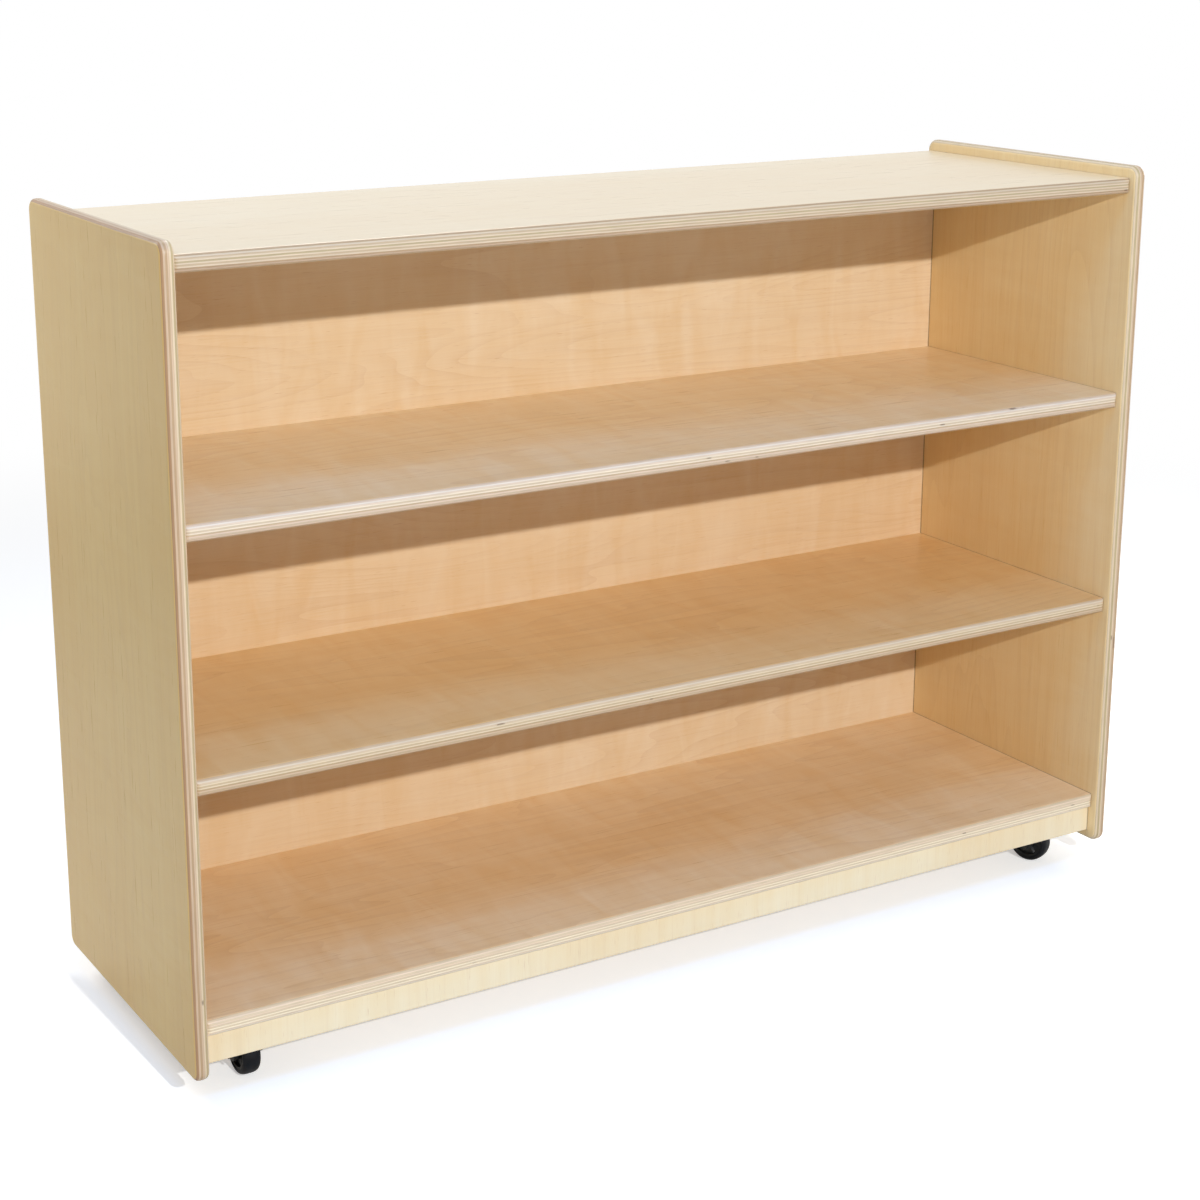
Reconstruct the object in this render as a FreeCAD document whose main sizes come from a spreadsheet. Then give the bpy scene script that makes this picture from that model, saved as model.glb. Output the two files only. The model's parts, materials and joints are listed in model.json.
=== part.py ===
"""Mobile open-shelf display unit: a plywood carcass of three bays on four swivel casters.

Millimetres. The origin is on the floor under the middle of the unit, +X to the right
as seen from the open front, +Y to the back and +Z up.
"""
import FreeCAD, Part
import os
import re
import Sketcher

# Driving sizes: lengths in millimetres, angles in degrees
SIZES = {
    # Carcass boards
    "overall_width": 1219,
    "side_depth": 381,
    "side_thickness": 15,
    "side_floor_gap": 32,
    "side_corner_radius": 13,
    "side_edge_radius": 5.5,
    "shelf_thickness": 18,
    "shelf_setback": 9,
    "shelf_edge_radius": 6,
    "bay_height": 239,
    "lip_height": 14,
    "top_rear_setback": 3,
    "apron_setback": 16,
    "apron_height": 32,
    "apron_thickness": 15,
    "apron_edge_radius": 1.5,
    # Back panel and the grooves that hold it
    "back_thickness": 6,
    "back_rear_inset": 12,
    "groove_depth": 5,
    "groove_clearance": 0.2,
    # Dowels
    "dowel_diameter": 8,
    "dowel_length": 32,
    "dowel_seat": 10,
    "dowel_chamfer": 1,
    "dowel_fit": 0.05,
    "dowel_end_gap": 0.5,
    "dowel_front_inset": 45,
    "dowel_rear_inset": 45,
    "apron_dowel_inset": 90,
    # Screws through the back panel
    "back_screw_diameter": 3.5,
    "back_screw_head": 7,
    "back_screw_length": 30,
    "back_screw_inset": 70,
    "screw_fit": 0.05,
    "screw_point": 4,
    "recess_arm": 1.6,
    "recess_width": 0.8,
    "recess_depth": 1.2,
    # Screws under the caster plates
    "plate_screw_diameter": 4.2,
    "plate_screw_head": 8,
    "plate_screw_head_height": 2.6,
    "plate_screw_dome": 0.9,
    "plate_screw_length": 14,
    "plate_screw_spacing_x": 48,
    "plate_screw_spacing_y": 36,
    # Caster: plate, race and kingpin
    "caster_height": 76,
    "caster_side_gap": 14,
    "caster_apron_gap": 3,
    "caster_trail": 20,
    "plate_length": 65,
    "plate_width": 52,
    "plate_thickness": 2.5,
    "plate_corner_radius": 6,
    "ball_diameter": 4.5,
    "ball_fit": 0.15,
    "race_diameter": 28,
    "race_depth": 1,
    "kingpin_diameter": 8,
    "kingpin_peen_diameter": 11,
    "kingpin_head_diameter": 16,
    "kingpin_head_height": 2.5,
    "washer_thickness": 1,
    "swivel_gap": 0.3,
    # Caster: fork and axle
    "crown_thickness": 3,
    "crown_diameter": 42,
    "crown_edge_radius": 1.5,
    "leg_thickness": 2.5,
    "leg_front": 14,
    "leg_rear": 11,
    "eye_radius": 9,
    "axle_diameter": 6,
    "axle_fit": 0.05,
    "axle_hex": 10,
    "axle_head_height": 4,
    "axle_nut_height": 5,
    "axle_tail": 2,
    "sleeve_diameter": 9,
    # Caster: wheel
    "wheel_diameter": 50,
    "tread_width": 20,
    "tread_thickness": 6,
    "tread_shoulder": 4,
    "rim_width": 18,
    "rim_thickness": 3,
    "web_width": 9,
    "boss_diameter": 17,
    "boss_width": 22,
    "boss_gap": 1,
    # Way each caster points when the unit stands still
    "front_left_swivel": 0,
    "front_right_swivel": 22,
    "rear_left_swivel": 6,
    "rear_right_swivel": 14,
}
BAYS = 3
DOWELS_PER_END = 4
APRON_DOWELS = 6
SCREWS_PER_ROW = 5
BALLS_PER_RACE = 12
CORNERS = ("front_left", "front_right", "rear_left", "rear_right")

# Turns of the fastenings from the way their masters lie
UNTURNED = FreeCAD.Rotation()
POINT_UP = FreeCAD.Rotation(FreeCAD.Vector(0, 1, 0), -90)
HEAD_TO_BACK = FreeCAD.Rotation(FreeCAD.Vector(1, 0, 0), -90)
HEAD_DOWN = FreeCAD.Rotation(FreeCAD.Vector(1, 0, 0), 180)
FULL_TURN = 360

# Sketch geometry numbers of the axes and the origin, and the point numbers of a line or circle
HORIZONTAL_AXIS, VERTICAL_AXIS = -1, -2
ORIGIN = (-1, 1)
START, END, CENTRE = range(1, 4)
LENGTH_MATCH = 1e-4
LEAST_CUT = 1e-6
MM3_PER_CM3 = 1000

# Formulas shared by several pieces
INNER_HALF = "(overall_width / 2 - side_thickness)"
FRONT = "(-side_depth / 2)"
BACK_FACE = "(side_depth - back_rear_inset - back_thickness)"
SHELF_DEPTH = f"({BACK_FACE} - shelf_setback)"
TOP_DEPTH = "(side_depth - shelf_setback - top_rear_setback)"
RISE = "(bay_height + shelf_thickness)"
TOP_UNDER = f"(caster_height + {BAYS} * {RISE})"
SIDE_HEIGHT = f"({TOP_UNDER} + shelf_thickness + lip_height - side_floor_gap)"
BACK_HEIGHT = f"({TOP_UNDER} + groove_depth - caster_height)"
DOWEL_SPAN = f"({SHELF_DEPTH} - dowel_front_inset - dowel_rear_inset)"
DOWEL_HOLE = "(dowel_diameter + 2 * dowel_fit)"
SEAT_HOLE = "(dowel_seat + dowel_end_gap)"
END_HOLE = "(dowel_length - dowel_seat + dowel_end_gap)"
APRON_MIDDLE = "(apron_setback + apron_thickness / 2)"
APRON_DOWEL_SPAN = f"(2 * ({INNER_HALF} - apron_dowel_inset))"
SCREW_SPAN = f"(2 * ({INNER_HALF} - back_screw_inset))"
BACK_SCREW_HOLE = "(back_screw_diameter + 2 * screw_fit)"
PLATE_SCREW_HOLE = "(plate_screw_diameter + 2 * screw_fit)"
WHEEL_RADIUS = "(wheel_diameter / 2)"
SWING = f"sqrt((caster_trail + {WHEEL_RADIUS})^2 + (tread_width / 2)^2)"
CASTER_X = f"({INNER_HALF} - {SWING} - caster_side_gap)"
CASTER_Y = f"({FRONT} + apron_setback + apron_thickness + {SWING} + caster_apron_gap)"
PLATE_UNDER = "(caster_height - plate_thickness)"
BALL_Z = f"({PLATE_UNDER} - ball_diameter / 2 - ball_fit + race_depth)"
CROWN_TOP = f"({BALL_Z} - ball_diameter / 2 - ball_fit + race_depth)"
CROWN_UNDER = f"({CROWN_TOP} - crown_thickness)"
WASHER_TOP = f"({CROWN_UNDER} - swivel_gap)"
WASHER_UNDER = f"({WASHER_TOP} - washer_thickness)"
FORK_INNER = "(boss_width / 2 + boss_gap)"
FORK_OUTER = f"({FORK_INNER} + leg_thickness)"
AXLE_HOLE = "(axle_diameter + 2 * axle_fit)"

doc = FreeCAD.newDocument("display_unit")
sheet = doc.addObject("Spreadsheet::Sheet", "Sizes")
for row, (size, number) in enumerate(SIZES.items(), start=1):
    sheet.set(f"A{row}", str(number))
    sheet.setAlias(f"A{row}", size)
doc.recompute()
nodes = []


# Formulas and sketches

def bound(formula):
    """Turns the size names in a formula into references to the sheet."""
    def refer(word):
        return "Sizes." + word.group() if word.group() in SIZES else word.group()
    return re.sub(r"[a-z_]+", refer, formula)


def number_of(formula):
    """Present value of a formula."""
    return float(sheet.evalExpression(bound(formula)))


def bind(thing, prop, formula):
    thing.setExpression(prop, bound(formula))


def place(thing, x="0", y="0", z="0", turn=None):
    """Binds a piece's position, and its turn about Z where it has one."""
    for axis, formula in zip("xyz", (x, y, z)):
        bind(thing, f"Placement.Base.{axis}", formula)
    if turn:
        bind(thing, "Placement.Rotation.Angle", turn)


def new_body(label):
    body = doc.addObject("PartDesign::Body", label)
    body.Label = label
    return body


def new_node(label):
    """A body that is one of the unit's pieces."""
    body = new_body(label)
    nodes.append(body)
    return body


def origin_plane(body, role):
    return next(item for item in body.Origin.OriginFeatures if item.Role == role)


def new_sketch(body, role, offset="0"):
    sketch = body.newObject("Sketcher::SketchObject", f"{body.Name}_sketch")
    sketch.AttachmentSupport = [(origin_plane(body, role), "")]
    sketch.MapMode = "FlatFace"
    bind(sketch, "AttachmentOffset.Base.z", offset)
    return sketch


def pin_point(sketch, line, end, x, y):
    """Fixes one point of a sketch at two formulas, measured from the sketch's origin."""
    for kind, formula, axis in (("DistanceX", x, VERTICAL_AXIS), ("DistanceY", y, HORIZONTAL_AXIS)):
        if formula == "0":
            sketch.addConstraint(Sketcher.Constraint("PointOnObject", line, end, axis))
        else:
            rule = Sketcher.Constraint(kind, *ORIGIN, line, end, number_of(formula))
            bind(sketch, f"Constraints[{sketch.addConstraint(rule)}]", formula)


def polygon(sketch, points):
    """Closed outline through points given as pairs of formulas."""
    spots = [FreeCAD.Vector(number_of(x), number_of(y), 0) for x, y in points]
    first = sketch.GeometryCount
    count = len(spots)
    for i in range(count):
        sketch.addGeometry(Part.LineSegment(spots[i], spots[(i + 1) % count]))
    for i, (x, y) in enumerate(points):
        joined = first + (i - 1) % count
        sketch.addConstraint(Sketcher.Constraint("Coincident", joined, END, first + i, START))
        pin_point(sketch, first + i, START, x, y)


def rectangle(sketch, left, bottom, right, top):
    polygon(sketch, [(left, bottom), (right, bottom), (right, top), (left, top)])


def circle(sketch, x, y, diameter):
    centre = FreeCAD.Vector(number_of(x), number_of(y), 0)
    ring = Part.Circle(centre, FreeCAD.Vector(0, 0, 1), number_of(diameter) / 2)
    line = sketch.addGeometry(ring)
    rule = Sketcher.Constraint("Diameter", line, number_of(diameter))
    bind(sketch, f"Constraints[{sketch.addConstraint(rule)}]", diameter)
    pin_point(sketch, line, CENTRE, x, y)


def hexagon(sketch, across):
    """Hexagon about the sketch's origin, two of its flats level."""
    half = f"({across} / 2)"
    corner = f"({across} / sqrt(3))"
    polygon(sketch, [(corner, "0"), (f"{corner} / 2", half), (f"-{corner} / 2", half),
                     (f"-{corner}", "0"), (f"-{corner} / 2", f"-{half}"), (f"{corner} / 2", f"-{half}")])


def cross(sketch):
    """Cross-shaped recess outline about the sketch's origin."""
    arm = "recess_arm"
    edge = "(recess_width / 2)"
    polygon(sketch, [(arm, f"-{edge}"), (arm, edge), (edge, edge), (edge, arm), (f"-{edge}", arm),
                     (f"-{edge}", edge), (f"-{arm}", edge), (f"-{arm}", f"-{edge}"),
                     (f"-{edge}", f"-{edge}"), (f"-{edge}", f"-{arm}"),
                     (edge, f"-{arm}"), (edge, f"-{edge}")])


# Features

def pad(body, sketch, length, backwards=False):
    feature = body.newObject("PartDesign::Pad", f"{body.Name}_pad")
    feature.Profile = sketch
    feature.Reversed = backwards
    bind(feature, "Length", length)
    doc.recompute()
    return feature


def check_cut(feature, before):
    """A cut has to take material away."""
    doc.recompute()
    if not feature.Shape.Volume < before - LEAST_CUT:
        raise RuntimeError(f"{feature.Name} cuts nothing")
    return feature


def pocket(body, sketch, depth, backwards=False):
    before = body.Shape.Volume
    feature = body.newObject("PartDesign::Pocket", f"{body.Name}_pocket")
    feature.Profile = sketch
    feature.Reversed = backwards
    bind(feature, "Length", depth)
    return check_cut(feature, before)


def turn(body, sketch, axis):
    feature = body.newObject("PartDesign::Revolution", f"{body.Name}_turned")
    feature.Profile = sketch
    feature.ReferenceAxis = (sketch, [axis])
    feature.Angle = FULL_TURN
    doc.recompute()
    return feature


def ring_groove(body, sketch):
    before = body.Shape.Volume
    feature = body.newObject("PartDesign::Groove", f"{body.Name}_race")
    feature.Profile = sketch
    feature.ReferenceAxis = (sketch, ["V_Axis"])
    feature.Angle = FULL_TURN
    return check_cut(feature, before)


def mirror(body, feature, role):
    """Repeats one feature on the other side of an origin plane."""
    copy = body.newObject("PartDesign::Mirrored", f"{body.Name}_mirrored")
    copy.Originals = [feature]
    copy.MirrorPlane = (origin_plane(body, role), [""])
    body.Tip = copy
    doc.recompute()
    return copy


def match(one, other):
    return abs(one - other) < LENGTH_MATCH


def chosen_edges(body, wanted):
    """Names of the body's edges that a test picks."""
    return [f"Edge{i}" for i, edge in enumerate(body.Shape.Edges, start=1) if wanted(edge)]


def lies_at(edge, axis, level):
    """Whether an edge lies wholly at one level along an axis."""
    box = edge.BoundBox
    return match(getattr(box, axis + "Min"), level) and match(getattr(box, axis + "Max"), level)


def edges_at(body, axis, level):
    return chosen_edges(body, lambda edge: lies_at(edge, axis, level))


def edges_along(body, axis, length):
    """Names of the straight edges that run a given length along an axis."""
    return chosen_edges(body, lambda edge: edge.Curve.TypeId == "Part::GeomLine"
                        and match(getattr(edge.BoundBox, axis + "Length"), length))


def ease(body, kind, edges, prop, formula):
    """Rounds or chamfers edges of the body's present shape."""
    feature = body.newObject(f"PartDesign::{kind}", f"{body.Name}_{kind.lower()}")
    feature.Base = (body.Group[-2], edges)
    bind(feature, prop, formula)
    doc.recompute()
    return feature


def fillet(body, edges, radius):
    return ease(body, "Fillet", edges, "Radius", radius)


def chamfer(body, edges, size):
    return ease(body, "Chamfer", edges, "Size", size)


def drill(body, role, offset, centres, diameter, depth, backwards=False):
    """A set of like holes bored from one plane."""
    sketch = new_sketch(body, role, offset)
    for x, y in centres:
        circle(sketch, x, y, diameter)
    return pocket(body, sketch, depth, backwards)


def round_edges(body, axis, level, diameter):
    """Names of the circles of one diameter that lie at one level."""
    radius = number_of(diameter) / 2
    return chosen_edges(body, lambda edge: edge.Curve.TypeId == "Part::GeomCircle"
                        and lies_at(edge, axis, level) and match(edge.Curve.Radius, radius))


def group(label, master, places):
    """One node of separate like pieces, each a link to the same master."""
    links = []
    for i, (x, y, z, rotation) in enumerate(places):
        link = doc.addObject("App::Link", f"{label}_{i}")
        link.LinkedObject = master
        link.LinkTransform = False
        link.Placement = FreeCAD.Placement(FreeCAD.Vector(), rotation)
        place(link, x, y, z)
        links.append(link)
    compound = doc.addObject("Part::Compound", label)
    compound.Label = label
    compound.Links = links
    nodes.append(compound)


def spread(start, span, count):
    """Formulas of evenly spaced places, the first at start and the last at start plus span."""
    return [f"({start} + {i} * {span} / {count - 1})" for i in range(count)]


# Boards, counted up from the bottom one

SHELVES = ("bottom_shelf", "lower_shelf", "upper_shelf", "top_panel")
SHELF_UNDER = {name: f"(caster_height + {i} * {RISE})" for i, name in enumerate(SHELVES)}
DOWEL_ROW = spread("dowel_front_inset", DOWEL_SPAN, DOWELS_PER_END)
APRON_ROW = spread(f"(apron_dowel_inset - {INNER_HALF})", APRON_DOWEL_SPAN, APRON_DOWELS)
SCREW_ROW = spread(f"(back_screw_inset - {INNER_HALF})", SCREW_SPAN, SCREWS_PER_ROW)


def side_panel(label, is_left):
    """Upright board, its inner face at local x = 0, drilled for dowels and grooved for the back."""
    body = new_node(label)
    outline = new_sketch(body, "YZ_Plane")
    rectangle(outline, "0", "0", "side_depth", SIDE_HEIGHT)
    pad(body, outline, "side_thickness", backwards=is_left)
    fillet(body, edges_along(body, "X", number_of("side_thickness")), "side_corner_radius")
    outer = number_of("-side_thickness" if is_left else "side_thickness")
    fillet(body, edges_at(body, "X", 0) + edges_at(body, "X", outer), "side_edge_radius")
    holes = [(f"(shelf_setback + {y})", f"({SHELF_UNDER[name]} + shelf_thickness / 2 - side_floor_gap)")
             for name in SHELVES for y in DOWEL_ROW]
    holes.append((APRON_MIDDLE, "(caster_height - apron_height / 2 - side_floor_gap)"))
    drill(body, "YZ_Plane", "0", holes, DOWEL_HOLE, SEAT_HOLE, backwards=not is_left)
    groove = new_sketch(body, "YZ_Plane")
    foot = "(caster_height - side_floor_gap)"
    rectangle(groove, f"({BACK_FACE} - groove_clearance)", f"({foot} - groove_clearance)",
              f"({BACK_FACE} + back_thickness + groove_clearance)",
              f"({foot} + {BACK_HEIGHT} + groove_clearance)")
    pocket(body, groove, "(groove_depth + groove_clearance)", backwards=not is_left)
    place(body, f"-{INNER_HALF}" if is_left else INNER_HALF, FRONT, "side_floor_gap")


def board(label, depth, eased_rear=False):
    """Shelf board between the sides, its front edge at local y = 0, with dowel holes in both ends."""
    body = new_node(label)
    outline = new_sketch(body, "XY_Plane")
    rectangle(outline, f"-{INNER_HALF}", "0", INNER_HALF, depth)
    pad(body, outline, "shelf_thickness")
    edges = edges_at(body, "Y", 0)
    if eased_rear:
        edges += edges_at(body, "Y", number_of(depth))
    fillet(body, edges, "shelf_edge_radius")
    holes = [(y, "(shelf_thickness / 2)") for y in DOWEL_ROW]
    mirror(body, drill(body, "YZ_Plane", INNER_HALF, holes, DOWEL_HOLE, END_HOLE), "YZ_Plane")
    place(body, "0", f"({FRONT} + shelf_setback)", SHELF_UNDER[label])
    return body


def top_panel():
    """Top board with a groove underneath for the back panel's upper edge."""
    body = board("top_panel", TOP_DEPTH, eased_rear=True)
    groove = new_sketch(body, "XY_Plane")
    rectangle(groove, f"-{INNER_HALF}", f"({SHELF_DEPTH} - groove_clearance)",
              INNER_HALF, f"({SHELF_DEPTH} + back_thickness + groove_clearance)")
    pocket(body, groove, "(groove_depth + groove_clearance)", backwards=True)


def shelf(label):
    """Shelf with pilot holes in its rear edge for the back panel's screws."""
    body = board(label, SHELF_DEPTH)
    pilots = [(x, "(shelf_thickness / 2)") for x in SCREW_ROW]
    depth = "(back_screw_length - back_thickness + dowel_end_gap)"
    drill(body, "XZ_Plane", f"-{SHELF_DEPTH}", pilots, BACK_SCREW_HOLE, depth, backwards=True)
    return body


def caster_axis(corner):
    """Formulas of a caster's swivel axis in plan."""
    x = CASTER_X if corner.endswith("right") else f"-{CASTER_X}"
    y = CASTER_Y if corner.startswith("front") else f"-{CASTER_Y}"
    return x, y


def plate_screw_offsets():
    """Formulas of the four screws of a caster plate, measured from the swivel axis."""
    return [(f"{a} * plate_screw_spacing_x / 2", f"{b} * plate_screw_spacing_y / 2")
            for a in (-1, 1) for b in (-1, 1)]


def bottom_shelf():
    """Bottom shelf with holes underneath for the apron's dowels and the casters' screws."""
    body = shelf("bottom_shelf")
    seats = [(x, f"({APRON_MIDDLE} - shelf_setback)") for x in APRON_ROW]
    drill(body, "XY_Plane", "0", seats, DOWEL_HOLE, SEAT_HOLE, backwards=True)
    pilots = []
    for corner in CORNERS:
        x, y = caster_axis(corner)
        pilots += [(f"({x} + {a})", f"({y} - {FRONT} - shelf_setback + {b})")
                   for a, b in plate_screw_offsets()]
    depth = "(plate_screw_length - plate_thickness + dowel_end_gap)"
    drill(body, "XY_Plane", "0", pilots, PLATE_SCREW_HOLE, depth, backwards=True)


def front_apron():
    """Rail under the bottom shelf, dowelled up into it and into both sides."""
    body = new_node("front_apron")
    outline = new_sketch(body, "XY_Plane")
    rectangle(outline, f"-{INNER_HALF}", "0", INNER_HALF, "apron_thickness")
    pad(body, outline, "apron_height")
    lower = set(edges_at(body, "Z", 0)) & set(edges_along(body, "X", number_of(f"2 * {INNER_HALF}")))
    fillet(body, sorted(lower), "apron_edge_radius")
    middle = [("(apron_thickness / 2)", "(apron_height / 2)")]
    mirror(body, drill(body, "YZ_Plane", INNER_HALF, middle, DOWEL_HOLE, END_HOLE), "YZ_Plane")
    upright = [(x, "(apron_thickness / 2)") for x in APRON_ROW]
    drill(body, "XY_Plane", "apron_height", upright, DOWEL_HOLE, END_HOLE)
    place(body, "0", f"({FRONT} + apron_setback)", "(caster_height - apron_height)")


def back_panel():
    """Thin sheet held in grooves on three sides, countersunk for its screws."""
    body = new_node("back_panel")
    half = f"({INNER_HALF} + groove_depth)"
    outline = new_sketch(body, "XZ_Plane")
    rectangle(outline, f"-{half}", "0", half, BACK_HEIGHT)
    pad(body, outline, "back_thickness", backwards=True)
    rows = [f"({i} * {RISE} + shelf_thickness / 2)" for i in range(BAYS)]
    holes = [(x, z) for z in rows for x in SCREW_ROW]
    drill(body, "XZ_Plane", "0", holes, BACK_SCREW_HOLE, "back_thickness")
    rims = round_edges(body, "Y", number_of("back_thickness"), BACK_SCREW_HOLE)
    chamfer(body, rims, "((back_screw_head - back_screw_diameter) / 2)")
    place(body, "0", f"({FRONT} + {BACK_FACE})", "caster_height")


# Fastenings: each master lies at the origin and is repeated by its group

def dowel_master():
    """Plain dowel along +X with chamfered ends."""
    body = new_body("dowel")
    outline = new_sketch(body, "YZ_Plane")
    circle(outline, "0", "0", "dowel_diameter")
    pad(body, outline, "dowel_length")
    rims = edges_at(body, "X", 0) + edges_at(body, "X", number_of("dowel_length"))
    chamfer(body, rims, "dowel_chamfer")
    return body


def screw_master(label, profile):
    """Screw turned about Z, the top of its head at z = 0, with a cross recess."""
    body = new_body(label)
    outline = new_sketch(body, "XZ_Plane")
    polygon(outline, profile)
    turn(body, outline, "V_Axis")
    recess = new_sketch(body, "XY_Plane")
    cross(recess)
    pocket(body, recess, "recess_depth")
    return body


def back_screw_master():
    shank = "(back_screw_diameter / 2)"
    head = "(back_screw_head / 2)"
    return screw_master("back_screw", [
        ("0", "0"), (head, "0"), (shank, f"({shank} - {head})"),
        (shank, "(screw_point - back_screw_length)"), ("0", "-back_screw_length")])


def plate_screw_master():
    shank = "(plate_screw_diameter / 2)"
    head = "(plate_screw_head / 2)"
    tip = "(plate_screw_length + plate_screw_head_height)"
    return screw_master("plate_screw", [
        ("0", "0"), (f"({head} - plate_screw_dome)", "0"), (head, "-plate_screw_dome"),
        (head, "-plate_screw_head_height"), (shank, "-plate_screw_head_height"),
        (shank, f"(screw_point - {tip})"), ("0", f"-{tip}")])


def end_dowels(y, z):
    """Places of one dowel at each end of a board."""
    return [(f"(-{INNER_HALF} - dowel_seat)", y, z, UNTURNED),
            (f"({INNER_HALF} + dowel_seat - dowel_length)", y, z, UNTURNED)]


def fastenings():
    dowel = dowel_master()
    for name in SHELVES:
        places = []
        middle = f"({SHELF_UNDER[name]} + shelf_thickness / 2)"
        for y in DOWEL_ROW:
            places += end_dowels(f"({FRONT} + shelf_setback + {y})", middle)
        group(f"{name}_dowels", dowel, places)
    middle = f"({FRONT} + {APRON_MIDDLE})"
    places = end_dowels(middle, "(caster_height - apron_height / 2)")
    places += [(x, middle, "(caster_height + dowel_seat - dowel_length)", POINT_UP) for x in APRON_ROW]
    group("apron_dowels", dowel, places)
    rear = f"({FRONT} + {BACK_FACE} + back_thickness)"
    rows = [f"({SHELF_UNDER[name]} + shelf_thickness / 2)" for name in SHELVES[:BAYS]]
    places = [(x, rear, z, HEAD_TO_BACK) for z in rows for x in SCREW_ROW]
    group("back_panel_screws", back_screw_master(), places)
    under_plate = f"({PLATE_UNDER} - plate_screw_head_height)"
    places = []
    for corner in CORNERS:
        x, y = caster_axis(corner)
        places += [(f"({x} + {a})", f"({y} + {b})", under_plate, HEAD_DOWN)
                   for a, b in plate_screw_offsets()]
    group("caster_screws", plate_screw_master(), places)


# Casters: pieces drawn about the swivel axis on the floor, or about the axle's middle

def race_sketch(body):
    """Section of the ball race, a little larger than a ball."""
    sketch = new_sketch(body, "XZ_Plane")
    circle(sketch, "(race_diameter / 2)", BALL_Z, "(ball_diameter + 2 * ball_fit)")
    return sketch


def caster_plate(label):
    """Flat plate screwed under the bottom shelf, grooved for the balls."""
    body = new_node(label)
    outline = new_sketch(body, "XY_Plane", PLATE_UNDER)
    rectangle(outline, "(-plate_length / 2)", "(-plate_width / 2)",
              "(plate_length / 2)", "(plate_width / 2)")
    pad(body, outline, "plate_thickness")
    fillet(body, edges_along(body, "Z", number_of("plate_thickness")), "plate_corner_radius")
    drill(body, "XY_Plane", "caster_height", plate_screw_offsets(), PLATE_SCREW_HOLE, "plate_thickness")
    drill(body, "XY_Plane", "caster_height", [("0", "0")], "kingpin_diameter", "plate_thickness")
    rim = round_edges(body, "Z", number_of("caster_height"), "kingpin_diameter")
    chamfer(body, rim, "((kingpin_peen_diameter - kingpin_diameter) / 2)")
    ring_groove(body, race_sketch(body))
    return body


def kingpin(label):
    """Rivet from the plate down through the fork, headed under the washer."""
    body = new_node(label)
    pin = "(kingpin_diameter / 2)"
    peen = "(kingpin_peen_diameter / 2)"
    head = "(kingpin_head_diameter / 2)"
    outline = new_sketch(body, "XZ_Plane")
    head_under = f"({WASHER_UNDER} - kingpin_head_height)"
    polygon(outline, [("0", "caster_height"), (peen, "caster_height"),
                      (pin, f"(caster_height - {peen} + {pin})"), (pin, WASHER_UNDER),
                      (head, WASHER_UNDER), (head, head_under), ("0", head_under)])
    turn(body, outline, "V_Axis")
    return body


def swivel_washer(label):
    body = new_node(label)
    outline = new_sketch(body, "XZ_Plane")
    rectangle(outline, "(kingpin_diameter / 2 + axle_fit)", WASHER_UNDER,
              "(kingpin_head_diameter / 2)", WASHER_TOP)
    turn(body, outline, "V_Axis")
    return body


def fork(label):
    """Round crown with two tapered legs that end in eyes round the axle."""
    body = new_node(label)
    crown = new_sketch(body, "XY_Plane", CROWN_UNDER)
    circle(crown, "0", "0", "crown_diameter")
    pad(body, crown, "crown_thickness")
    fillet(body, round_edges(body, "Z", number_of(CROWN_TOP), "crown_diameter"), "crown_edge_radius")
    leg = new_sketch(body, "YZ_Plane", FORK_INNER)
    polygon(leg, [("(-caster_trail - eye_radius)", WHEEL_RADIUS),
                  ("(eye_radius - caster_trail)", WHEEL_RADIUS),
                  ("leg_rear", CROWN_TOP), ("-leg_front", CROWN_TOP)])
    mirror(body, pad(body, leg, "leg_thickness"), "YZ_Plane")
    eye = new_sketch(body, "YZ_Plane", FORK_INNER)
    circle(eye, "-caster_trail", WHEEL_RADIUS, "(2 * eye_radius)")
    mirror(body, pad(body, eye, "leg_thickness"), "YZ_Plane")
    pin_hole = "(kingpin_diameter + 2 * axle_fit)"
    drill(body, "XY_Plane", CROWN_TOP, [("0", "0")], pin_hole, "crown_thickness")
    axle = [("-caster_trail", WHEEL_RADIUS)]
    drill(body, "YZ_Plane", FORK_OUTER, axle, AXLE_HOLE, f"(2 * {FORK_OUTER})")
    ring_groove(body, race_sketch(body))
    return body


def axle_bolt(label):
    """Hexagon bolt along X through both legs, the sleeve and the nut."""
    body = new_node(label)
    head = new_sketch(body, "YZ_Plane", f"-{FORK_OUTER}")
    hexagon(head, "axle_hex")
    pad(body, head, "axle_head_height", backwards=True)
    shank = new_sketch(body, "YZ_Plane", f"-{FORK_OUTER}")
    circle(shank, "0", "0", "axle_diameter")
    pad(body, shank, f"(2 * {FORK_OUTER} + axle_nut_height + axle_tail)")
    return body


def axle_nut(label):
    body = new_node(label)
    outline = new_sketch(body, "YZ_Plane", FORK_OUTER)
    hexagon(outline, "axle_hex")
    circle(outline, "0", "0", AXLE_HOLE)
    pad(body, outline, "axle_nut_height")
    return body


def axle_sleeve(label):
    """Tube between the legs on which the wheel turns."""
    body = new_node(label)
    outline = new_sketch(body, "YZ_Plane", f"-{FORK_INNER}")
    circle(outline, "0", "0", "sleeve_diameter")
    circle(outline, "0", "0", AXLE_HOLE)
    pad(body, outline, f"(2 * {FORK_INNER})")
    return body


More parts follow.
